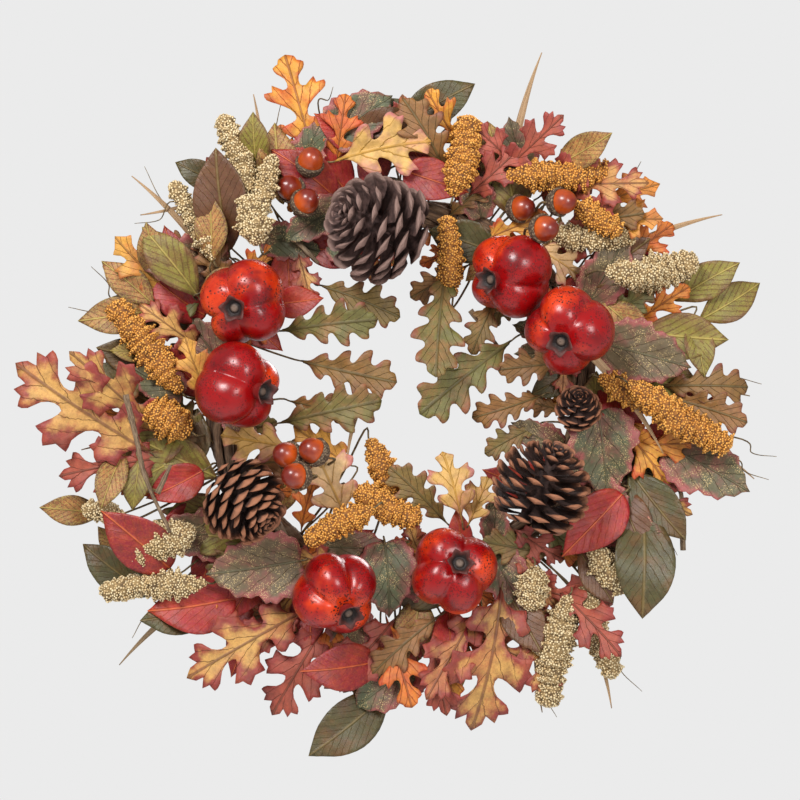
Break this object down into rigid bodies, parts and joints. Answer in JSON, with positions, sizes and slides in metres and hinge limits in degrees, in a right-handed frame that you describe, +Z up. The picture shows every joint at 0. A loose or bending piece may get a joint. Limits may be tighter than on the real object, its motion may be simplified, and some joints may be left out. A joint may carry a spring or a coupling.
{
  "type": "harvest wreath",
  "caption": "Door wreath of bound vines with faux fruit, pine cones, leaves and seed heads, hung by a wire loop.",
  "frame": {"origin": "point inside the hanging loop that rests on the hook", "axes": "+X right as seen from the front, -Y out of the front, +Z up"},
  "size_m": [0.6009, 0.1346, 0.5678],
  "materials": {
    "vine": "matt bark",
    "frame_wire": "green-brown enamel",
    "binding_wire": "dull brown",
    "hanger_wire": "green enamel",
    "pomegranate": "glossy, speckled",
    "crown": "dry husk",
    "pick_wire": "paper-wrapped wire",
    "pinecone": "dry woody scales",
    "acorn_nut": "glossy",
    "acorn_cap": "scaly",
    "cream_seed": "beaded",
    "gold_seed": "beaded",
    "orange_oak": "printed silk leaf",
    "russet_oak": "printed silk leaf",
    "yellow_maple": "printed silk leaf",
    "pale_oak": "printed silk leaf",
    "green_oak": "printed silk leaf",
    "magnolia": "printed silk leaf",
    "red_leaf": "printed silk leaf",
    "olive_leaf": "printed silk leaf",
    "grape_leaf": "printed silk leaf",
    "grass": "dry blade",
    "stem": "wrapped stem",
    "twig": "bare bark"
  },
  "bodies": {
    "wreath": {"acorn_caps_lower_left": "acorn_cap", "acorn_caps_upper_left": "acorn_cap", "acorn_caps_upper_right": "acorn_cap", "acorn_nuts_lower_left": "acorn_nut", "acorn_nuts_upper_left": "acorn_nut", "acorn_nuts_upper_right": "acorn_nut", "acorn_stems": "stem", "binding_wires": "binding_wire", "cream_seed_heads_bottom": "cream_seed", "cream_seed_heads_left": "cream_seed", "cream_seed_heads_right": "cream_seed", "cream_seed_heads_top_left": "cream_seed", "frame_wire": "frame_wire", "gold_seed_heads_bottom": "gold_seed", "gold_seed_heads_left": "gold_seed", "gold_seed_heads_right": "gold_seed", "gold_seed_heads_top": "gold_seed", "grape_leaves": "grape_leaf", "grass_blades_left": "grass", "grass_blades_right": "grass", "green_oak_leaves_inner": "green_oak", "green_oak_leaves_outer": "green_oak", "leaf_stems_left": "stem", "leaf_stems_right": "stem", "magnolia_leaves": "magnolia", "olive_leaves_left": "olive_leaf", "olive_leaves_right": "olive_leaf", "orange_oak_leaves_top": "orange_oak", "pale_oak_leaves": "pale_oak", "pinecone_lower_left": "pinecone", "pinecone_lower_right": "pinecone", "pinecone_picks": "pick_wire", "pinecone_right": "pinecone", "pinecone_top": "pinecone", "pomegranate_bottom": "pomegranate", "pomegranate_crowns": "crown", "pomegranate_left": "pomegranate", "pomegranate_lower_left": "pomegranate", "pomegranate_picks": "pick_wire", "pomegranate_right": "pomegranate", "pomegranate_upper_left": "pomegranate", "pomegranate_upper_right": "pomegranate", "red_leaves": "red_leaf", "russet_oak_leaves_bottom": "russet_oak", "russet_oak_leaves_left": "russet_oak", "russet_oak_leaves_top": "russet_oak", "seed_head_stems": "stem", "twigs_left": "twig", "twigs_right": "twig", "vine_hoop_1": "vine", "vine_hoop_2": "vine", "vine_hoop_3": "vine", "vine_hoop_4": "vine", "vine_hoop_5": "vine", "vine_hoop_6": "vine", "vine_hoop_7": "vine", "yellow_maple_leaves": "yellow_maple"},
    "hanger": {"hanger_loop": "hanger_wire"}
  },
  "joints": [
    {"name": "hanger_swing", "type": "hinge", "parent": "wreath", "child": "hanger", "pos_m": [0, 0, -0.039], "axis": [-1, 0, 0], "range_deg": [0, 170]}
  ]
}
